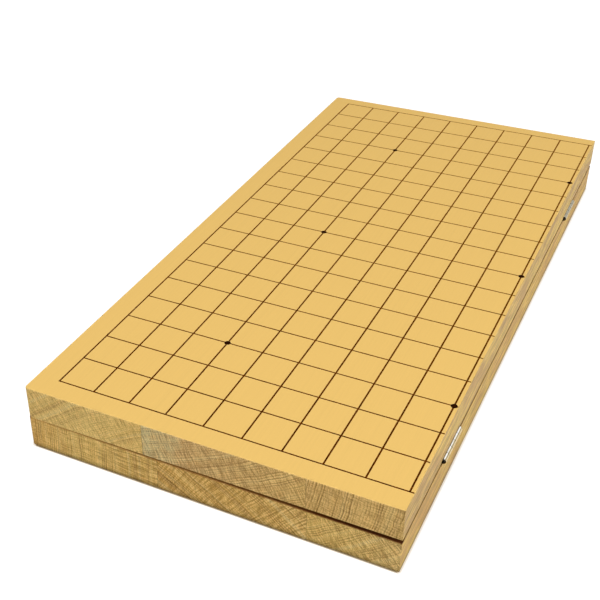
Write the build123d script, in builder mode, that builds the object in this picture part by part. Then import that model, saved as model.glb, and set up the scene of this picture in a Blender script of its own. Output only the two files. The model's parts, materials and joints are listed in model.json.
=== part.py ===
from build123d import *
from dataclasses import dataclass
from math import asin, atan2, degrees
import os

# Folding go board: two wooden halves joined by two small butt hinges.
# It lies folded on its lower half, with the playing faces outward.
# All sizes are in millimetres. +Z is up and the hinges are on the +X side.

# Printed grid
column_pitch = 22.0
row_pitch = 23.7
rows = 19
columns = 19
column_line_width = 1.0
row_line_width = 0.9
star_diameter = 3.7
star_spacing = 6
first_star = 3
ink_depth = 0.15

# Margins from the grid to the edges of the wood
hinge_margin = 2.5
free_margin = 14.3
near_margin = 13.0
far_margin = 10.6

# Wood, with its thickness at the hinges. The upper half is thicker at its free edge.
upper_thickness = 19.4
lower_thickness = 19.7
upper_taper = 1.0
upper_planks = (73.1, 91.9)
lower_planks = (81.5, 84.9)
lower_proud = 0.3
corner_radius = 2.5
upper_arris = 0.7
lower_arris = 0.8
inner_arris = 0.35
hinge_arris = 0.25

# The two halves touch along the free edge and stand apart at the hinges
hinge_gap = 2.0
free_gap = 0.08

# Butt hinges
barrel_radius = 1.6
barrel_length = 29.0
knuckles = 5
knuckle_gap = 0.25
leaf_thickness = 0.65
leaf_width = 11.5
leaf_corner = 0.8
axis_stand_off = 0.1
near_hinge_inset = 77.8
far_hinge_inset = 84.0

# Hinge pin
running_clearance = 0.05
fixed_clearance = 0.02
pin_end_round = 0.35

# Pockets for the hinges
pocket_clearance = 0.45
pocket_overrun = 2.7

# Countersunk wood screws
screw_from_axis = 7.4
screw_pitch = 15.0
screw_head_radius = 1.9
screw_shank_radius = 1.1
screw_length = 10.0
screw_point = 2.2
screw_clearance = 0.05
slot_length = 2.2
slot_width = 0.5
slot_depth = 0.5

# Worked out from the sizes above
upper_columns = (columns + 1) // 2
marked_columns = range(first_star, columns, star_spacing)
marked_rows = range(first_star, rows, star_spacing)
board_length = near_margin + (rows - 1) * row_pitch + far_margin
half_width = free_margin + (upper_columns - 1) * column_pitch + hinge_margin
overall_width = half_width + lower_proud + axis_stand_off + barrel_radius
axis_x = overall_width / 2 - barrel_radius
axis_z = lower_thickness + hinge_gap / 2
inner_level = hinge_gap / 2
hinge_face = -axis_stand_off
pin_radius = barrel_radius - leaf_thickness - running_clearance
knuckle_length = (barrel_length - (knuckles - 1) * knuckle_gap) / knuckles
knuckle_step = knuckle_length + knuckle_gap
countersink_angle = 2 * degrees(atan2(screw_head_radius - screw_shank_radius, leaf_thickness))
closing_tilt = degrees(asin((hinge_gap - free_gap - upper_taper) / (half_width + axis_stand_off)))
first_row_y = near_margin - board_length / 2


@dataclass
class Half:
    """One half of the board. Its frame has its origin on the hinge axis,
    X towards the hinges and Y along the board. Side is 1 above the axis, -1 below.
    Thickness is taken at the hinges, and taper is how much thicker the free edge is."""

    name: str
    side: int
    frame: Plane
    width: float
    thickness: float
    taper: float
    column_places: list
    star_columns: list
    planks: tuple
    arris: float

    def level(self, height):
        """The plane that far from the hinge axis, towards this half's playing face."""
        return self.frame.offset(self.side * height)

    def playing_level(self):
        """The plane of this half's playing face."""
        return self.level(inner_level + self.thickness)

    def outward(self):
        """The axis that points from the hinge axis to this half's playing face."""
        return Axis(self.frame.origin, self.frame.z_dir * self.side)


@dataclass
class Hinge:
    """One butt hinge, with the place of its middle along the board."""

    name: str
    middle: float

    def knuckle_middles(self, half):
        """The upper half holds the second and fourth knuckle, the lower half the others."""
        first = 1 if half.side > 0 else 0
        start = self.middle - (knuckles - 1) / 2 * knuckle_step
        return [start + k * knuckle_step for k in range(first, knuckles, 2)]


closed_frame = Plane(origin=(axis_x, 0, axis_z), x_dir=(1, 0, 0), z_dir=(0, 0, 1))
upper_frame = closed_frame.rotated((0, -closing_tilt, 0))

# Columns are counted from the hinge side of each half, from 0, and placed from the hinge axis.
# The middle column of the board is on the upper half.
lower_columns = columns - upper_columns
upper_column_places = [hinge_face - hinge_margin - c * column_pitch for c in range(upper_columns)]
lower_column_places = [hinge_face + hinge_margin - c * column_pitch for c in range(1, lower_columns + 1)]
upper = Half(
    name="upper",
    side=1,
    frame=upper_frame,
    width=half_width,
    thickness=upper_thickness,
    taper=upper_taper,
    column_places=upper_column_places,
    star_columns=[upper_columns - 1 - c for c in marked_columns if c < upper_columns],
    planks=upper_planks,
    arris=upper_arris,
)
lower = Half(
    name="lower",
    side=-1,
    frame=closed_frame,
    width=half_width + lower_proud,
    thickness=lower_thickness,
    taper=0.0,
    column_places=lower_column_places,
    star_columns=[c - upper_columns for c in marked_columns if c >= upper_columns],
    planks=lower_planks,
    arris=lower_arris,
)
hinges = [
    Hinge("near_hinge", near_hinge_inset - board_length / 2),
    Hinge("far_hinge", board_length / 2 - far_hinge_inset),
]


def row_y(row):
    """Where a row line lies along the board."""
    return first_row_y + row * row_pitch


def make_blank(half):
    """The wood of one half before anything is cut into it."""
    free_face = hinge_face - half.width
    playing_height = inner_level + half.thickness
    with BuildPart() as blank:
        with BuildSketch(barrel_plane(half, 0)):
            with BuildLine():
                Polyline(
                    (hinge_face, inner_level),
                    (hinge_face, playing_height),
                    (free_face, playing_height),
                    (free_face, inner_level - half.taper),
                    close=True,
                )
            make_face()
        extrude(amount=board_length / 2, both=True)
        free_side = blank.faces().sort_by(Axis.X)[0]
        fillet(free_side.edges().filter_by(Axis.Y, reverse=True), corner_radius)
        playing_face = blank.faces().sort_by(half.outward())[-1]
        fillet(playing_face.edges().sort_by(Axis.X)[:-1], half.arris)
        inner_face = blank.faces().sort_by(half.outward())[0]
        fillet(inner_face.edges().sort_by(Axis.X)[:-1], inner_arris)
        hinge_side = blank.faces().sort_by(Axis.X)[-1]
        fillet(hinge_side.edges().filter_by(Axis.Y), hinge_arris)
    return blank


def star_places(half):
    """Where the marked points of one half lie, from the hinge axis."""
    return [(half.column_places[c], row_y(r)) for c in half.star_columns for r in marked_rows]


def make_star_points(half):
    """Round ink dots where marked lines cross, flush with the playing face."""
    with BuildPart() as stars:
        with BuildSketch(half.playing_level()):
            with Locations(*star_places(half)):
                Circle(star_diameter / 2)
        extrude(amount=-half.side * ink_depth)
    return stars


def make_grid_lines(half):
    """Column and row lines in one thin layer of ink, flush with the playing face."""
    line_ends = half.column_places[-1] - column_line_width / 2
    row_length = hinge_face - hinge_arris - line_ends
    column_length = (rows - 1) * row_pitch + row_line_width
    column_places = [(x, row_y((rows - 1) / 2)) for x in half.column_places]
    row_places = [(line_ends + row_length / 2, row_y(r)) for r in range(rows)]
    with BuildPart() as lines:
        with BuildSketch(half.playing_level()):
            with Locations(*column_places):
                Rectangle(column_line_width, column_length)
            with Locations(*row_places):
                Rectangle(row_length, row_line_width)
            with Locations(*star_places(half)):
                Circle(star_diameter / 2, mode=Mode.SUBTRACT)
        extrude(amount=-half.side * ink_depth)
    return lines


def screw_places(half, hinge):
    """Where the screws of one leaf go, in the frame of its half."""
    ends = (-screw_pitch / 2, screw_pitch / 2)
    return [(-screw_from_axis, hinge.middle + end) for end in ends]


def screw_planes(half, hinge):
    """A plane on the open face of one leaf at each screw, facing away from the wood."""
    height = half.side * (barrel_radius - leaf_thickness)
    return [
        Plane(
            origin=half.frame.from_local_coords((x, y, height)),
            x_dir=half.frame.x_dir,
            z_dir=half.frame.z_dir * -half.side,
        )
        for x, y in screw_places(half, hinge)
    ]


def glue_joints(half):
    """The planes in which the planks of one half meet, facing the hinges."""
    places = []
    x = hinge_face - half.width
    for width in half.planks:
        x += width
        origin = half.frame.from_local_coords((x, 0, 0))
        places.append(Plane(origin=origin, x_dir=half.frame.y_dir, z_dir=half.frame.x_dir))
    return places


def make_free_plank(half, blank, ink):
    """The plank along the free edge."""
    with BuildPart() as plank:
        add(blank.part)
        split(bisect_by=glue_joints(half)[0], keep=Keep.BOTTOM)
        add(ink, mode=Mode.SUBTRACT)
    return plank


def make_middle_plank(half, blank, ink):
    """The plank between the two glue joints."""
    with BuildPart() as plank:
        add(blank.part)
        split(bisect_by=glue_joints(half)[0], keep=Keep.TOP)
        split(bisect_by=glue_joints(half)[1], keep=Keep.BOTTOM)
        add(ink, mode=Mode.SUBTRACT)
    return plank


def make_hinge_plank(half, blank, ink):
    """The plank along the hinges, with their pockets, grooves and screw holes."""
    pocket_width = leaf_width + pocket_clearance
    pocket_length = barrel_length + 2 * pocket_clearance
    groove_length = pocket_length + pocket_overrun
    hole_depth = screw_length - leaf_thickness + screw_clearance
    with BuildPart() as plank:
        add(blank.part)
        split(bisect_by=glue_joints(half)[1], keep=Keep.TOP)
        for hinge in hinges:
            with BuildSketch(half.level(0)):
                with Locations((-pocket_width / 2, hinge.middle)):
                    Rectangle(pocket_width, pocket_length)
            extrude(amount=half.side * barrel_radius, mode=Mode.SUBTRACT)
            with BuildSketch(barrel_plane(half, hinge.middle - pocket_overrun / 2)):
                Circle(barrel_radius + pocket_clearance)
            extrude(amount=groove_length / 2, both=True, mode=Mode.SUBTRACT)
            with BuildSketch(half.level(barrel_radius)):
                with Locations(*screw_places(half, hinge)):
                    Circle(screw_shank_radius + screw_clearance)
            extrude(amount=half.side * hole_depth, mode=Mode.SUBTRACT)
        add(ink, mode=Mode.SUBTRACT)
    return plank


def barrel_plane(half, y):
    """A plane across the hinge axis, with X towards the hinge face and Y outward."""
    return Plane(
        origin=half.frame.from_local_coords((0, y, 0)),
        x_dir=half.frame.x_dir,
        z_dir=-half.frame.y_dir * half.side,
    )


def make_leaf(half, hinge):
    """One leaf of a hinge: a flat plate with its rolled knuckles."""
    bore = pin_radius + (running_clearance if half.side > 0 else fixed_clearance)
    plate_end = barrel_radius + pocket_clearance
    plate_width = leaf_width - plate_end
    with BuildPart() as leaf:
        with BuildSketch(half.level(barrel_radius)) as plate:
            with Locations((-plate_end - plate_width / 2, hinge.middle)):
                Rectangle(plate_width, barrel_length)
            fillet(plate.vertices().group_by(Axis.X)[0], leaf_corner)
        extrude(amount=-half.side * leaf_thickness)
        for middle in hinge.knuckle_middles(half):
            start = middle + half.side * knuckle_length / 2
            with BuildSketch(barrel_plane(half, start)):
                Circle(barrel_radius)
                with Locations((-plate_end / 2, barrel_radius - leaf_thickness / 2)):
                    Rectangle(plate_end, leaf_thickness)
            extrude(amount=knuckle_length)
        with BuildSketch(barrel_plane(half, hinge.middle)):
            Circle(bore)
        extrude(amount=barrel_length / 2, both=True, mode=Mode.SUBTRACT)
        with Locations(*screw_planes(half, hinge)):
            CounterSinkHole(
                radius=screw_shank_radius + screw_clearance,
                counter_sink_radius=screw_head_radius + screw_clearance,
                depth=leaf_thickness,
                counter_sink_angle=countersink_angle,
            )
    return leaf


def make_pin(hinge):
    """The steel pin through the knuckles of one hinge."""
    with BuildPart() as pin:
        with BuildSketch(barrel_plane(lower, hinge.middle)):
            Circle(pin_radius)
        extrude(amount=barrel_length / 2, both=True)
        fillet(pin.edges().filter_by(GeomType.CIRCLE), pin_end_round)
    return pin


def make_screws(half, hinge):
    """The countersunk screws of one leaf, with crossed slots in their heads."""
    with BuildPart() as screws:
        for head in screw_planes(half, hinge):
            section = Plane(origin=head.origin, x_dir=head.x_dir, z_dir=head.y_dir)
            with BuildSketch(section):
                with BuildLine():
                    Polyline(
                        (0, 0),
                        (screw_head_radius, 0),
                        (screw_shank_radius, leaf_thickness),
                        (screw_shank_radius, screw_length - screw_point),
                        (0, screw_length),
                        close=True,
                    )
                make_face()
            revolve(axis=Axis(head.origin, head.z_dir))
            with BuildSketch(head):
                Rectangle(slot_length, slot_width)
                Rectangle(slot_width, slot_length)
            extrude(amount=-slot_depth, mode=Mode.SUBTRACT)
    return screws


def save(piece, name):
    """Labels one finished piece and writes it to its own file."""
    piece.part.label = name
    export_step(piece.part, f"parts/{name}.step")


def main():
    os.makedirs("parts", exist_ok=True)
    for half in (upper, lower):
        blank = make_blank(half)
        stars = make_star_points(half)
        lines = make_grid_lines(half)
        ink = [lines.part, stars.part]
        save(stars, f"{half.name}_star_points")
        save(lines, f"{half.name}_grid_lines")
        save(make_free_plank(half, blank, ink), f"{half.name}_free_plank")
        save(make_middle_plank(half, blank, ink), f"{half.name}_middle_plank")
        save(make_hinge_plank(half, blank, ink), f"{half.name}_hinge_plank")
        for hinge in hinges:
            save(make_leaf(half, hinge), f"{hinge.name}_{half.name}_leaf")
            save(make_screws(half, hinge), f"{hinge.name}_{half.name}_screws")
    for hinge in hinges:
        save(make_pin(hinge), f"{hinge.name}_pin")
    print("hinge axis at x", round(axis_x, 4), "z", round(axis_z, 4))
    print("folded board", round(overall_width, 3), "by", round(board_length, 3))
    print("closing tilt", round(closing_tilt, 4), "degrees")


main()
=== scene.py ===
"""Materials, table top, light and camera for the folding go board.

In the materials, places and sizes are in millimetres in the part's frame, and colours are given as
sRGB steps of 1/255.
"""
import json
import math

import bmesh
import bpy
from mathutils import Euler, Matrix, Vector


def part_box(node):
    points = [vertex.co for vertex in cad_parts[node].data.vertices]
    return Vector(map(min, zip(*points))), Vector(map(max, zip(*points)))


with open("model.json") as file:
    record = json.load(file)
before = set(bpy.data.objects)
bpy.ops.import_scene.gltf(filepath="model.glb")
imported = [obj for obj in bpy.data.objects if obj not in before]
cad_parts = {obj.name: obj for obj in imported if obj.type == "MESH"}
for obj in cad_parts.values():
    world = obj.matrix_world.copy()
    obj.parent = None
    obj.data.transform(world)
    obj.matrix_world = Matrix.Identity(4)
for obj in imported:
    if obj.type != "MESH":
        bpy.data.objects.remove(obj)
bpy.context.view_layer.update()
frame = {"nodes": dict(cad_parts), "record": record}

MM = 0.001


def linear(red, green, blue):
    """The linear colour of an sRGB colour given in steps of 1/255."""
    out = []
    for value in (red, green, blue):
        share = value / 255
        out.append(share / 12.92 if share <= 0.04045 else ((share + 0.055) / 1.055) ** 2.4)
    return (*out, 1.0)


def grey(level):
    """The linear colour of that level in all three."""
    return (level, level, level, 1.0)


class Graph:
    """The nodes of a material or of the world, built with short calls."""

    def __init__(self, owner):
        owner.use_nodes = True
        self.owner = owner
        self.tree = owner.node_tree
        self.tree.nodes.clear()

    def add(self, kind, inputs=None, **settings):
        node = self.tree.nodes.new(kind)
        for key, value in settings.items():
            setattr(node, key, value)
        for key, value in (inputs or {}).items():
            self.feed(node.inputs[key], value)
        return node

    def feed(self, socket, value):
        if isinstance(value, bpy.types.NodeSocket):
            self.tree.links.new(value, socket)
        else:
            socket.default_value = value

    def math(self, operation, *values, clamp=False):
        inputs = dict(enumerate(values))
        return self.add("ShaderNodeMath", inputs, operation=operation, use_clamp=clamp).outputs[0]

    def times(self, *values):
        """The product of two or more values."""
        product = values[0]
        for value in values[1:]:
            product = self.math("MULTIPLY", product, value)
        return product

    def line(self, value, slope, level):
        """The value times a slope, plus a level."""
        return self.math("MULTIPLY_ADD", value, slope, level)

    def hypot(self, first, second):
        """The length of the diagonal over two sides."""
        squares = self.math("ADD", self.times(first, first), self.times(second, second))
        return self.math("SQRT", squares)

    def span(self, value, low, high, to_low=0.0, to_high=1.0, smooth=False):
        """Brings a value from low...high to to_low...to_high, and keeps it between those two."""
        node = self.add(
            "ShaderNodeMapRange",
            {0: value, 1: low, 2: high, 3: to_low, 4: to_high},
            interpolation_type="SMOOTHSTEP" if smooth else "LINEAR",
        )
        return node.outputs[0]

    def vector(self, operation, *values):
        node = self.add("ShaderNodeVectorMath", dict(enumerate(values)), operation=operation)
        return node.outputs[0]

    def split(self, vector):
        return self.add("ShaderNodeSeparateXYZ", {0: vector}).outputs[:3]

    def join(self, x, y, z):
        return self.add("ShaderNodeCombineXYZ", {0: x, 1: y, 2: z}).outputs[0]

    def position(self):
        """A point's place in the part's frame at rest, also when its body has moved."""
        place = self.add("ShaderNodeTexCoord").outputs["Object"]
        return self.vector("MULTIPLY", place, (1 / MM,) * 3)

    def facing(self):
        """The x, y and z of the surface's direction, in the same frame."""
        return self.split(self.add("ShaderNodeTexCoord").outputs["Normal"])

    def noise(self, place, sizes, shift=(0, 0, 0), detail=2.0, roughness=0.5, colour=False):
        """Noise with spots of the given sizes along x, y and z, moved by a shift in those sizes."""
        spots = self.vector("MULTIPLY_ADD", place, tuple(1 / size for size in sizes), shift)
        inputs = {"Vector": spots, "Scale": 1.0, "Detail": detail, "Roughness": roughness}
        return self.add("ShaderNodeTexNoise", inputs).outputs[1 if colour else 0]

    def random(self, value):
        return self.add("ShaderNodeTexWhiteNoise", {"W": value}, noise_dimensions="1D").outputs[0]

    def mix(self, share, first, second):
        """The first colour where the share is 0, the second where it is 1."""
        inputs = {0: share, 6: first, 7: second}
        return self.add("ShaderNodeMix", inputs, data_type="RGBA").outputs[2]

    def scaled(self, colour, factor):
        """The colour with its brightness multiplied by a factor."""
        inputs = {0: colour[:3] if isinstance(colour, tuple) else colour, "Scale": factor}
        return self.add("ShaderNodeVectorMath", inputs, operation="SCALE").outputs[0]

    def bump(self, height, strength=1.0):
        """A bump whose height is in millimetres."""
        inputs = {"Strength": strength, "Distance": MM, "Height": height}
        return self.add("ShaderNodeBump", inputs).outputs[0]

    def seen(self):
        """1 where the camera looks, straight or by a gloss or through something clear, else 0."""
        path = self.add("ShaderNodeLightPath").outputs
        gloss = self.math("MAXIMUM", path["Is Glossy Ray"], path["Is Transmission Ray"])
        return self.math("MAXIMUM", path["Is Camera Ray"], gloss)

    def finish(self, **inputs):
        """Ends a material in a Principled shader. Its inputs have underscores for spaces."""
        named = {key.replace("_", " "): value for key, value in inputs.items()}
        shader = self.add("ShaderNodeBsdfPrincipled", named)
        self.add("ShaderNodeOutputMaterial", {"Surface": shader.outputs[0]})
        return self.owner


def box(node):
    """A node's lowest and highest corners, in millimetres."""
    return [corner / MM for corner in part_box(node)]


def glue_joints(half):
    """The x places of a half's two glue joints."""
    planks = [box(f"{half}_{part}_plank") for part in ("free", "middle", "hinge")]
    return [(first[1].x + second[0].x) / 2 for first, second in zip(planks, planks[1:])]


# Places read from the model
HINGE_AXIS = Vector(frame["record"]["behaviour"]["joints"][0]["pos_m"]) / MM
HINGE_FACE = box("upper_hinge_plank")[1].x
FREE_FACE = box("upper_free_plank")[0].x
HALF_LENGTH = (box("upper_hinge_plank")[1].y - box("upper_hinge_plank")[0].y) / 2
BARREL_RADIUS = box("near_hinge_lower_leaf")[1].x - HINGE_AXIS.x
BARREL_CLEARANCE = 0.45
GROOVE_RADIUS = BARREL_RADIUS + BARREL_CLEARANCE
GROOVES = [[corner.y for corner in box(f"{end}_hinge_lower_leaf")] for end in ("near", "far")]
GAP_FLOOR = box("lower_middle_plank")[1].z


class Sawn:
    """How a plank was sawn from its tree, and its tones."""

    def __init__(self, pith, pitch, wave, rings, rays, seed, ends, stops, side):
        self.pith = pith  # where the tree's heart lies from the plank's middle, along x and z
        self.pitch = pitch  # of the rings
        self.wave = wave  # how far they waver
        self.rings = rings  # how strongly they show at the plank's left and right edge
        self.rays = rays  # how strongly the rays show there
        self.seed = seed
        self.ends = ends  # three tones of the end grain
        self.stops = stops  # where each of them lies, as a share of the plank's width
        self.side = side  # the two tones of a long side


PLANKS = {
    "upper_free_plank": Sawn(
        pith=(150, -230), pitch=1.15, wave=1.5, rings=(0.24, 0.54), rays=(0.36, 0.30), seed=3.0,
        ends=((208, 174, 102), (210, 178, 106), (205, 170, 97)), stops=(0.0, 0.5, 1.0),
        side=((222, 186, 104), (213, 174, 100)),
    ),
    "upper_middle_plank": Sawn(
        pith=(-140, 265), pitch=1.45, wave=1.6, rings=(0.50, 0.72), rays=(0.46, 0.40), seed=17.0,
        ends=((194, 177, 126), (186, 151, 98), (193, 156, 90)), stops=(0.06, 0.24, 1.0),
        side=((222, 186, 104), (213, 174, 100)),
    ),
    "upper_hinge_plank": Sawn(
        pith=(-170, 30), pitch=1.45, wave=1.8, rings=(0.95, 0.95), rays=(0.24, 0.34), seed=31.0,
        ends=((188, 151, 88), (187, 150, 87), (186, 151, 88)), stops=(0.0, 0.5, 1.0),
        side=((230, 195, 116), (209, 171, 112)),
    ),
    "lower_free_plank": Sawn(
        pith=(-230, 10), pitch=1.25, wave=1.2, rings=(0.85, 0.34), rays=(0.16, 0.60), seed=47.0,
        ends=((192, 148, 76), (203, 169, 96), (193, 155, 82)), stops=(0.0, 0.35, 1.0),
        side=((223, 187, 104), (213, 174, 98)),
    ),
    "lower_middle_plank": Sawn(
        pith=(-160, -205), pitch=1.6, wave=1.4, rings=(0.72, 0.72), rays=(0.36, 0.60), seed=61.0,
        ends=((189, 147, 75), (189, 149, 77), (195, 158, 88)), stops=(0.0, 0.5, 1.0),
        side=((223, 187, 104), (213, 174, 98)),
    ),
    "lower_hinge_plank": Sawn(
        pith=(-130, 170), pitch=1.35, wave=1.6, rings=(0.60, 0.46), rays=(0.34, 0.66), seed=79.0,
        ends=((198, 163, 90), (198, 165, 94), (193, 161, 98)), stops=(0.0, 0.5, 1.0),
        side=((231, 193, 108), (216, 173, 104)),
    ),
}

# Tones that all planks share
TOP_TONE = linear(231, 190, 108)
INNER_TONE = linear(206, 168, 98)
DARK_BAND = linear(160, 124, 76)
PALE_BAND = linear(212, 190, 132)
WARM_BAND = linear(208, 156, 84)
PALE_GRAIN = linear(232, 206, 142)
DEEP_GRAIN = linear(126, 84, 34)
WORN_TONE = linear(240, 208, 140)
# painted shade in the gap between the halves, at its middle and at the hinges
GAP_SHADE_AT_MIDDLE = linear(128, 70, 4)
GAP_SHADE_AT_HINGES = linear(78, 27, 0)
BELOW_GAP_TONE = linear(126, 70, 8)
# painted shade in the depth of the hinge grooves
GROOVE_SHADE = linear(16, 8, 3)

# Sizes of the patterns in the wood along x, y and z
RING_WAVES = (17, 300, 17)
PORES = (0.55, 0.55, 0.55)
CLOUDS = (11, 200, 8)
WARM_BANDS = (3.0, 60, 5.0)
STREAKS = (1.3, 70, 1.1)
FIBRES = (0.5, 9, 0.5)
MOTTLE = (14, 26, 6)
TORN_EDGE = (0.7, 3.0, 3.0)
RAYS = (0.85, 11.0, 1.0)  # round the heart and away from it
SAW_MARKS = (0.55, 14.0, 1.0)  # across the marks and along them
SAW_LEAN = 0.16

# In a ring, the late wood darkens up to its peak, more in some years than in others
RINGS_PER_BAND = 3
BAND_SHIFT = 2.2  # rings
LATE_PEAK = 0.84
LATE_LEAST, LATE_MOST = 0.30, 1.25
LATE_MEAN = 0.28

# How strongly the long grain's patterns light each kind of face: a slope and a level for each
SIDE_GRAIN = dict(streaks=(1.30, 0.36), fibres=(1.10, 0.45), late=(-0.20, 1.04))
TOP_GRAIN = dict(streaks=(0.05, 0.975), fibres=(0.03, 0.985), late=(-0.02, 1.003))
INNER_GRAIN = dict(streaks=(0.60, 0.70), fibres=(0.40, 0.80), late=(-0.12, 1.02))

# Heights of the patterns
LATE_HEIGHT = 0.035
MARK_HEIGHT = 0.05
PORE_HEIGHT = 0.04
FIBRE_HEIGHT = 0.012

# Painted shade in the gap, low down and in the hinge grooves; the darker band under the gap, paler
# edges and joints: how far each reaches, and how strongly it shows
# painted shade in the gap: where it is full and where it ends, near the board's ends, the hinges
# and the free side
END_SHADE_FULL, END_SHADE_NONE = 2.0, 7.0
HINGE_SHADE_FROM, HINGE_SHADE_FULL, HINGE_SHADE = 6.0, 2.0, 0.35
FREE_SHADE_FROM, FREE_SHADE_FULL, FREE_SHADE = 3.0, 1.0, 0.75
BELOW_GAP_FROM, BELOW_GAP_FULL = 0.9, 0.1
EDGE_PALER = 0.20
# painted shade low down, near the table: where it is full, where it ends (higher on the long sides)
# and its darkest level
LOW_SHADE_FULL, LOW_SHADE_NONE, LOW_SHADE_NONE_ON_SIDES, LOW_SHADE_LEVEL = 0.2, 2.4, 5.0, 0.55
GLUE_EDGE, GLUE_CORE = 0.30, 0.08
GLUE_DARK_ON_ENDS, GLUE_DARK_ELSEWHERE = 0.29, 0.03
# where the painted shade in the grooves and their notches reaches
GROOVE_OUTSIDE, GROOVE_INSIDE = 0.12, 0.02
GROOVE_MOUTH, GROOVE_DEPTH = -0.3, -1.2
NOTCH_SHIFT = 0.6
NOTCH_NONE, NOTCH_FULL = 0.8, 0.6


class Wood(Graph):
    """The wood of one plank: rings, rays and saw marks on its ends, long streaks elsewhere."""

    def __init__(self, name, sawn):
        super().__init__(bpy.data.materials.new(name + "_wood"))
        self.half = name.split("_")[0]
        self.sawn = sawn
        self.low, self.high = box(name)
        self.place = self.position()
        self.x, self.y, self.z = self.split(self.place)
        normal = self.facing()
        self.nx, self.ny, self.nz = (self.math("ABSOLUTE", part) for part in normal)
        self.inward = self.math("MULTIPLY", normal[2], -1.0 if self.half == "upper" else 1.0)
        self.ragged = self.noise(self.place, TORN_EDGE)
        self.add_growth()
        self.add_marks()
        self.find_faces()

    def add_growth(self):
        """Rings round the heart of the tree, waved by slow noise, and rays that cross them."""
        pith, pitch, wave, seed = self.sawn.pith, self.sawn.pitch, self.sawn.wave, self.sawn.seed
        waves = self.noise(self.place, RING_WAVES, (seed, 0, 0), detail=2.5, colour=True)
        waves = self.vector("MULTIPLY_ADD", waves, (wave * 2,) * 3, (-wave,) * 3)
        shift_x, _, shift_z = self.split(waves)
        middle = (self.low + self.high) / 2
        from_x = self.math("ADD", self.math("SUBTRACT", self.x, middle.x + pith[0]), shift_x)
        from_z = self.math("ADD", self.math("SUBTRACT", self.z, middle.z + pith[1]), shift_z)
        radius = self.hypot(from_x, from_z)

        band = (pitch * RINGS_PER_BAND, 1, 1)
        self.drift = self.noise(self.join(radius, seed, 0.0), band, detail=1.0)
        shift = self.times(self.drift, BAND_SHIFT)
        count = self.math("ADD", self.math("DIVIDE", radius, pitch), shift)
        part = self.math("FRACT", count)
        rise = self.math("POWER", part, 2.0)
        fall = self.span(part, LATE_PEAK, 1.0, 1.0, 0.0, smooth=True)
        year = self.random(self.math("FLOOR", count))
        self.late = self.times(rise, fall, self.span(year, 0.0, 1.0, LATE_LEAST, LATE_MOST))

        around = self.times(self.math("ARCTAN2", from_z, from_x), math.hypot(*pith))
        rays = self.noise(self.join(around, radius, seed), RAYS, detail=1.5)
        self.rays = self.span(rays, 0.36, 0.64, -0.5, 0.5)

    def add_marks(self):
        """Marks of the saw, slightly off upright, pores, clouds of tone, and the long grain."""
        seed = self.sawn.seed
        leaning = self.math("ADD", self.x, self.times(self.z, SAW_LEAN))
        self.marks = self.noise(self.join(leaning, self.z, self.y), SAW_MARKS)
        self.pores = self.noise(self.place, PORES, roughness=0.7)
        self.clouds = self.noise(self.place, CLOUDS, (0, seed, 0))
        self.streaks = self.noise(self.place, STREAKS, (seed, 0, seed), detail=3.0, roughness=0.6)
        self.fibres = self.noise(self.place, FIBRES, (0, seed, 0))

    def find_faces(self):
        """Masks of the kinds of face. The end grain's edge is ragged where the plane tore it."""
        tear = self.line(self.ragged, 0.9, -0.45)
        endways = self.math("SUBTRACT", self.ny, self.math("MAXIMUM", self.nx, self.nz))
        self.is_end = self.span(self.math("ADD", endways, tear), -0.1, 0.1)
        self.is_side = self.span(self.math("SUBTRACT", self.nx, self.nz), -0.1, 0.1)
        self.is_inner = self.span(self.inward, 0.5, 0.8)

    def end_grain(self):
        sawn = self.sawn
        across = self.span(self.x, self.low.x, self.high.x)
        along = self.math("ADD", across, self.line(self.clouds, 0.3, -0.15))
        left, middle, right = (linear(*tone) for tone in sawn.ends)
        tone = self.mix(self.span(along, *sawn.stops[:2]), left, middle)
        tone = self.mix(self.span(along, *sawn.stops[1:]), tone, right)
        tone = self.mix(self.span(self.drift, 0.50, 0.72, 0.0, 0.55), tone, DARK_BAND)
        tone = self.mix(self.span(self.drift, 0.48, 0.28, 0.0, 0.45), tone, PALE_BAND)
        warm = self.noise(self.place, WARM_BANDS, (0, 0, sawn.seed))
        tone = self.mix(self.span(warm, 0.50, 0.75, 0.0, 0.25), tone, WARM_BAND)

        # rings and rays come and go across the plank
        patchy = self.span(self.clouds, 0.35, 0.62, 0.45, 1.25)
        ring = self.times(self.span(across, 0.0, 1.0, *sawn.rings), patchy)
        ray = self.span(across, 0.0, 1.0, *sawn.rays)
        light = self.times(
            self.line(self.math("SUBTRACT", LATE_MEAN, self.late), ring, 1.0),
            self.line(self.rays, ray, 1.0),
            self.line(self.marks, 0.70, 0.65),
            self.line(self.pores, 1.30, 0.37),
        )
        tone = self.scaled(tone, light)
        tone = self.mix(self.span(light, 1.0, 1.7, 0.0, 0.5), tone, PALE_GRAIN)
        return self.mix(self.span(light, 0.8, 0.3, 0.0, 0.6), tone, DEEP_GRAIN)

    def long_grain(self, tone, streaks, fibres, late):
        """The tone under streaks, fibres and rings, each with its slope and level."""
        light = self.times(
            self.line(self.streaks, *streaks),
            self.line(self.fibres, *fibres),
            self.line(self.late, *late),
        )
        return self.scaled(tone, light)

    def side_tone(self):
        seed = self.sawn.seed
        mottle = self.noise(self.place, MOTTLE, (seed, seed, 0), detail=2.5)
        first, second = (linear(*tone) for tone in self.sawn.side)
        return self.mix(self.span(mottle, 0.38, 0.62, smooth=True), first, second)

    def all_faces(self):
        """Which grain shows on which face."""
        top = self.long_grain(TOP_TONE, **TOP_GRAIN)
        inner = self.long_grain(INNER_TONE, **INNER_GRAIN)
        side = self.long_grain(self.side_tone(), **SIDE_GRAIN)
        colour = self.mix(self.is_inner, top, inner)
        colour = self.mix(self.is_side, colour, side)
        return self.mix(self.is_end, colour, self.end_grain())

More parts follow.
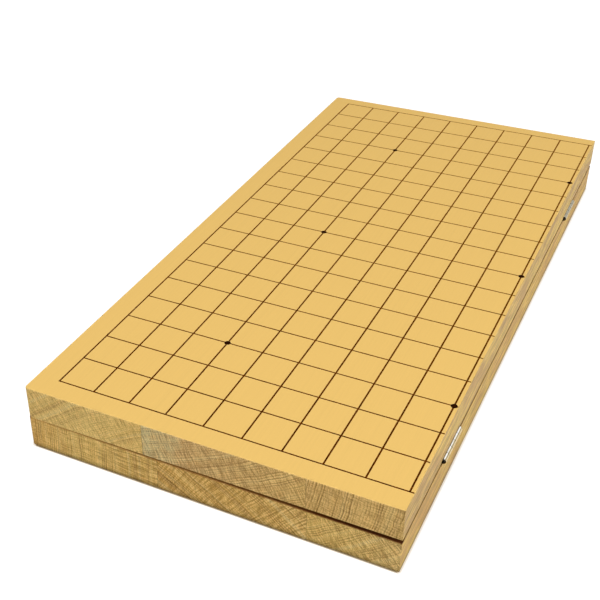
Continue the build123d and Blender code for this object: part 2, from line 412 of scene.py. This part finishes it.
    def gap_painted_shade(self, colour):
        """Painted shade in the gap between the halves, deeper towards the hinges, where it gapes.
        """
        from_end = self.math("SUBTRACT", HALF_LENGTH, self.math("ABSOLUTE", self.y))
        at_ends = self.times(
            self.span(from_end, END_SHADE_FULL, END_SHADE_NONE, 1.0, 0.0),
            self.span(self.x, -HINGE_FACE, HINGE_FACE * 0.6, 0.2, 0.95),
        )
        at_hinges = self.span(
            self.x, HINGE_FACE - HINGE_SHADE_FROM, HINGE_FACE - HINGE_SHADE_FULL, 0.0, HINGE_SHADE,
        )
        at_free_side = self.span(
            self.x, FREE_FACE + FREE_SHADE_FROM, FREE_FACE + FREE_SHADE_FULL, 0.0, FREE_SHADE,
        )
        # painted shade: darkens the gap's inner faces
        gap_shade = self.math("MAXIMUM", self.math("MAXIMUM", at_ends, at_hinges), at_free_side)
        gap_shade = self.times(gap_shade, self.span(self.inward, 0.05, 0.35))
        towards_hinges = self.span(self.x, 0.0, HINGE_FACE * 0.8)
        dark_tone = self.mix(towards_hinges, GAP_SHADE_AT_MIDDLE, GAP_SHADE_AT_HINGES)
        return self.mix(gap_shade, colour, dark_tone)

    def darker_below_gap(self, colour):
        """The lower half's end grain is darker and browner just under the gap, more so towards the
        hinges.
        """
        below_gap = self.times(
            self.span(self.z, GAP_FLOOR - BELOW_GAP_FROM, GAP_FLOOR - BELOW_GAP_FULL, smooth=True),
            self.is_end,
            self.span(self.x, -HINGE_FACE, HINGE_FACE, 0.2, 0.6),
        )
        return self.mix(below_gap, colour, BELOW_GAP_TONE)

    def wear(self, colour):
        """Rubbed edges are a little paler."""
        squareness = self.math("MAXIMUM", self.nx, self.math("MAXIMUM", self.ny, self.nz))
        on_edge = self.span(squareness, 0.99, 0.80, smooth=True)
        worn = self.times(on_edge, self.span(self.ragged, 0.35, 0.65), EDGE_PALER)
        return self.mix(worn, colour, WORN_TONE)

    def painted_shade_low_down(self, colour):
        """Painted shade low down, near the table, reaching higher up on the long sides."""
        height = self.math("ADD", self.z, self.line(self.ragged, 1.2, -0.6))
        reach = self.line(self.is_side, LOW_SHADE_NONE_ON_SIDES - LOW_SHADE_NONE, LOW_SHADE_NONE)
        light = self.span(height, LOW_SHADE_FULL, reach, LOW_SHADE_LEVEL, 1.0, smooth=True)
        return self.scaled(colour, light)

    def glue_line(self, colour, joint):
        """A glue joint: a thin dark line on the ends, hardly seen elsewhere."""
        away = self.math("ABSOLUTE", self.math("SUBTRACT", self.x, joint))
        depth = self.span(self.is_end, 0.0, 1.0, GLUE_DARK_ELSEWHERE, GLUE_DARK_ON_ENDS)
        dark = self.times(self.span(away, GLUE_EDGE, GLUE_CORE, smooth=True), depth)
        return self.scaled(colour, self.math("SUBTRACT", 1.0, dark))

    def painted_shade_in_grooves(self, colour):
        """Painted shade in the depth of the hinge grooves, and in a notch at their near ends."""
        beside = self.math("SUBTRACT", self.x, HINGE_AXIS.x)
        above = self.math("SUBTRACT", self.z, HINGE_AXIS.z)
        away = self.hypot(beside, above)
        inside = self.times(
            self.span(away, GROOVE_RADIUS + GROOVE_OUTSIDE, GROOVE_RADIUS + GROOVE_INSIDE),
            self.span(beside, GROOVE_MOUTH, GROOVE_DEPTH),
        )
        for start, end in GROOVES:
            middle, half = (start + end) / 2 - NOTCH_SHIFT, (end - start) / 2
            off_middle = self.math("ABSOLUTE", self.math("SUBTRACT", self.y, middle))
            reach = self.span(off_middle, half + NOTCH_NONE, half + NOTCH_FULL)
            colour = self.mix(self.times(inside, reach), colour, GROOVE_SHADE)
        return colour

    def height(self):
        """The surface's height: late wood, saw marks and pores on the ends, fibres elsewhere."""
        end = self.times(self.late, LATE_HEIGHT)
        end = self.line(self.marks, MARK_HEIGHT, end)
        end = self.line(self.pores, PORE_HEIGHT, end)
        long = self.times(self.fibres, FIBRE_HEIGHT)
        return self.mix(self.is_end, self.join(long, 0, 0), self.join(end, 0, 0))

    def roughness(self):
        return self.line(self.is_end, 0.22, self.line(self.streaks, 0.10, 0.52))


def wood(name, sawn):
    """The finished material of one plank."""
    plank = Wood(name, sawn)
    # painted shade in the gap between the halves
    colour = plank.gap_painted_shade(plank.all_faces())
    if plank.half == "lower":
        colour = plank.darker_below_gap(colour)
    colour = plank.wear(colour)
    # painted shade low down, near the table
    if plank.half == "lower":
        colour = plank.painted_shade_low_down(colour)
    for joint in glue_joints(plank.half):
        colour = plank.glue_line(colour, joint)
    # painted shade in the hinge grooves
    if name.endswith("hinge_plank"):
        colour = plank.painted_shade_in_grooves(colour)
    return plank.finish(
        Base_Color=colour,
        Roughness=plank.roughness(),
        Specular_IOR_Level=0.09,
        Normal=plank.bump(plank.height()),
    )


FADED_INK = linear(224, 152, 20)
INK_BLOTCHES = (0.9, 0.9, 2.0)
INK_SOAK = (0.2, 5.0, 1.0)
INK_BUMP = 0.01


def ink(name, full, faint, fade):
    """Printed ink: near black, browner where it is thin, and faded at the far end by a share."""
    g = Graph(bpy.data.materials.new(name))
    place = g.position()
    thin = g.noise(place, INK_BLOTCHES, detail=3.0, roughness=0.6)
    soak = g.noise(place, INK_SOAK, detail=1.0)
    colour = g.mix(g.span(thin, 0.38, 0.72), linear(*full), linear(*faint))
    colour = g.scaled(colour, g.line(soak, 0.5, 0.75))
    faded = g.span(g.split(place)[1], -HALF_LENGTH, HALF_LENGTH, 0.0, fade)
    return g.finish(
        Base_Color=g.mix(faded, colour, FADED_INK),
        Roughness=0.75,
        Specular_IOR_Level=0.01,
        Normal=g.bump(thin, INK_BUMP),
    )


PLATE_TONE = linear(214, 214, 208)
METAL_PATCHES = (2.4, 3.2, 2.4)
METAL_SPECKS = (0.25, 0.25, 0.25)
DRAWN_LENGTHWAYS = (0.10, 9.0, 0.10)
DRAWN_FINE = (0.08, 6.0, 0.08)
DRAWN_EVENLY = (0.30, 0.30, 0.30)
BRUSH_HEIGHT = 0.006
# the painted dark reflection beside a barrel's streak, real grimy specks, and the painted shade on
# a barrel's ends
SEAM_REFLECTION = 0.65
SPECK_GRIME = 0.5
BARREL_END_SHADE = 0.06


def metal(name, tone, reflection_and_tarnish, dark_tone, brushed, roughness):
    """Plated steel with fine brush marks.

    A barrel has a painted highlight along its top, a painted reflection down its flank and painted
    shade on its ends. Flat leaves have an even tone.
    """
    g = Graph(bpy.data.materials.new(name))
    place = g.position()
    _, lengthways, upward = g.facing()
    brush = g.noise(place, brushed, roughness=0.7)
    patches = g.noise(place, METAL_PATCHES, detail=3.0, roughness=0.6)
    specks = g.noise(place, METAL_SPECKS, detail=1.0)

    # painted highlight: from the bright streak along the top down to the painted reflection on the
    # flank, and duller in random patches
    off_top = g.span(upward, 0.93, 0.78)
    toward_reflection_and_tarnish = g.math("ADD", g.span(patches, 0.45, 0.75, 0.0, 0.4), off_top, clamp=True)
    colour = g.mix(toward_reflection_and_tarnish, linear(*tone), linear(*reflection_and_tarnish))

    # a painted dark reflection beside the streak, then the flat faces, grimy specks and brush marks
    seam = g.times(g.span(upward, 0.84, 0.76), g.span(upward, 0.58, 0.68), SEAM_REFLECTION)
    colour = g.mix(seam, colour, linear(*dark_tone))
    flat = g.span(g.math("ABSOLUTE", upward), 0.988, 0.996)
    colour = g.mix(flat, colour, g.scaled(PLATE_TONE, g.span(patches, 0.40, 0.75, 1.0, 0.82)))
    colour = g.mix(g.times(g.span(specks, 0.66, 0.74), SPECK_GRIME), colour, linear(*dark_tone))
    colour = g.scaled(colour, g.line(brush, 0.16, 0.92))
    # painted shade on the barrel's ends
    at_end = g.span(g.math("ABSOLUTE", lengthways), 0.6, 0.9, 1.0, BARREL_END_SHADE)

    rough = g.line(brush, 0.14, roughness - 0.07)
    return g.finish(
        Base_Color=g.scaled(colour, at_end),
        Metallic=1.0,
        Roughness=g.math("ADD", rough, g.span(patches, 0.5, 0.8, 0.0, 0.12)),
        Normal=g.bump(g.times(brush, BRUSH_HEIGHT)),
    )


def dress(node, material):
    """Gives every material slot of a CAD node the finished material."""
    mesh = frame["nodes"][node].data
    if not mesh.materials:
        mesh.materials.append(material)
    for index in range(len(mesh.materials)):
        mesh.materials[index] = material


for name, sawn in PLANKS.items():
    dress(name, wood(name, sawn))

line_ink = ink("line_ink", full=(50, 19, 0), faint=(118, 58, 0), fade=0.16)
point_ink = ink("point_ink", full=(24, 6, 0), faint=(52, 20, 0), fade=0.0)
# each metal: the tone of its painted highlight, its flank's painted reflection and patches, and a
# dark tone for the painted seam and real specks
near_leaf = metal(
    "leaf_nickel",
    tone=(255, 255, 252), reflection_and_tarnish=(206, 184, 136), dark_tone=(70, 74, 54),
    brushed=DRAWN_LENGTHWAYS, roughness=0.18,
)
# the far hinges have a dimmer painted highlight and a rougher finish
far_leaf = metal(
    "leaf_nickel_dull",
    tone=(168, 168, 152), reflection_and_tarnish=(182, 170, 144), dark_tone=(104, 104, 86),
    brushed=DRAWN_LENGTHWAYS, roughness=0.38,
)
screw_steel = metal(
    "screw_nickel",
    tone=(218, 218, 214), reflection_and_tarnish=(180, 180, 168), dark_tone=(96, 88, 76),
    brushed=DRAWN_EVENLY, roughness=0.30,
)
pin_steel = metal(
    "pin_steel",
    tone=(198, 198, 196), reflection_and_tarnish=(150, 148, 136), dark_tone=(92, 84, 74),
    brushed=DRAWN_FINE, roughness=0.36,
)
for node in frame["nodes"]:
    if node.endswith("_lines"):
        dress(node, line_ink)
    elif node.endswith("_points"):
        dress(node, point_ink)
    elif node.endswith("_leaf"):
        dress(node, far_leaf if node.startswith("far") else near_leaf)
    elif node.endswith("_screws"):
        dress(node, screw_steel)
    elif node.endswith("_pin"):
        dress(node, pin_steel)


# Camera, at the photograph's angle
camera_data = bpy.data.cameras.new("camera")
camera_data.sensor_width = 36.0
camera_data.lens = 62.315
camera_data.shift_x = 0.1152
camera_data.shift_y = 0.0431
camera_data.clip_start = 0.01
camera = bpy.data.objects.new("camera", camera_data)
camera.location = (0.19386, -0.56781, 0.38139)
camera.rotation_euler = Euler([math.radians(angle) for angle in (55.6085, 0.6561, 26.7658)])
bpy.context.scene.collection.objects.link(camera)
bpy.context.scene.camera = camera


# Table top: a white sheet, which keeps the board's shadow
FLOOR_HALF = 4.0  # metres
FLOOR_DROP = 0.0001  # metres
BOUNCE_TONE = 0.60
CONTACT_REACH = 0.0013  # metres
CONTACT_TINT = (1.0, 0.80, 0.50, 1.0)
SIDE_FROM, SIDE_FULL, CLEAR_AT_SIDES = 2.5, 0.5, 0.78
NEAR, FAR = 400, 1400
GLOW_NEAR = 0.76
LIT_SHARE = 0.42


def floor_sheet():
    """A flat square just under the board."""
    mesh = bpy.data.meshes.new("floor")
    sheet = bmesh.new()
    signs = ((-1, -1), (1, -1), (1, 1), (-1, 1))
    corners = [(sx * FLOOR_HALF, sy * FLOOR_HALF, -FLOOR_DROP) for sx, sy in signs]
    sheet.faces.new([sheet.verts.new(corner) for corner in corners])
    sheet.to_mesh(mesh)
    sheet.free()
    return mesh


def table_white():
    """White to the camera, with a thin warm shadow where the board touches it.

    What it throws back on the board is a plain grey.
    """
    g = Graph(bpy.data.materials.new("white_floor"))
    ao = g.add("ShaderNodeAmbientOcclusion", {"Distance": CONTACT_REACH}, samples=16)

    # the contact shadow is fainter along the board's two long sides than at its ends
    sideways = g.math("ABSOLUTE", g.split(g.position())[0])
    at_sides = g.span(
        sideways, HINGE_FACE - SIDE_FROM, HINGE_FACE - SIDE_FULL, 0.0, CLEAR_AT_SIDES,
    )
    clear = g.math("MAXIMUM", ao.outputs["AO"], at_sides)
    tint = g.mix(g.span(clear, 0.5, 0.95), CONTACT_TINT, grey(1.0))

    # a share of the white is lit, which shows the shadow, and the rest glows, fully far away
    away = g.add("ShaderNodeVectorMath", {0: g.position()}, operation="LENGTH").outputs["Value"]
    strength = g.times(g.span(clear, 0.5, 0.9), g.span(away, NEAR, FAR, GLOW_NEAR, 1.0))
    glow = g.add("ShaderNodeEmission", {"Color": tint, "Strength": strength})
    lit = g.add("ShaderNodeBsdfDiffuse", {"Color": g.scaled(tint, LIT_SHARE)})
    white = g.add("ShaderNodeAddShader", {0: lit.outputs[0], 1: glow.outputs[0]})
    bounce = g.add("ShaderNodeBsdfDiffuse", {"Color": grey(BOUNCE_TONE)})
    shown = g.add("ShaderNodeMixShader", {0: g.seen(), 1: bounce.outputs[0], 2: white.outputs[0]})
    g.add("ShaderNodeOutputMaterial", {"Surface": shown.outputs[0]})
    return g.owner


floor = bpy.data.objects.new("floor", floor_sheet())
floor.data.materials.append(table_white())
bpy.context.scene.collection.objects.link(floor)

# Soft studio light: a white world, dimmer for what it lights, and three soft lamps
WORLD_LIGHT = 0.224
world = bpy.data.worlds.new("studio")
bpy.context.scene.world = world
sky = Graph(world)
level = sky.span(sky.seen(), 0.0, 1.0, WORLD_LIGHT, 1.0)
background = sky.add("ShaderNodeBackground", {"Color": grey(1.0), "Strength": level})
sky.add("ShaderNodeOutputWorld", {"Surface": background.outputs[0]})


def softbox(name, place, target, size, power):
    light = bpy.data.lights.new(name, "AREA")
    light.shape = "DISK"
    light.size = size
    light.energy = power
    lamp = bpy.data.objects.new(name, light)
    lamp.location = place
    lamp.rotation_euler = (Vector(target) - Vector(place)).to_track_quat("-Z", "Y").to_euler()
    bpy.context.scene.collection.objects.link(lamp)


softbox("overhead", place=(0.05, -0.38, 1.80), target=(0.0, -0.05, 0.0), size=1.1, power=18.3)
softbox("right", place=(1.25, 0.15, 0.70), target=(0.1, 0.05, 0.02), size=0.8, power=5.8)
softbox("front", place=(-0.10, -1.35, 0.85), target=(0.0, -0.2, 0.02), size=0.8, power=7.4)

bpy.context.scene.view_settings.view_transform = "Standard"
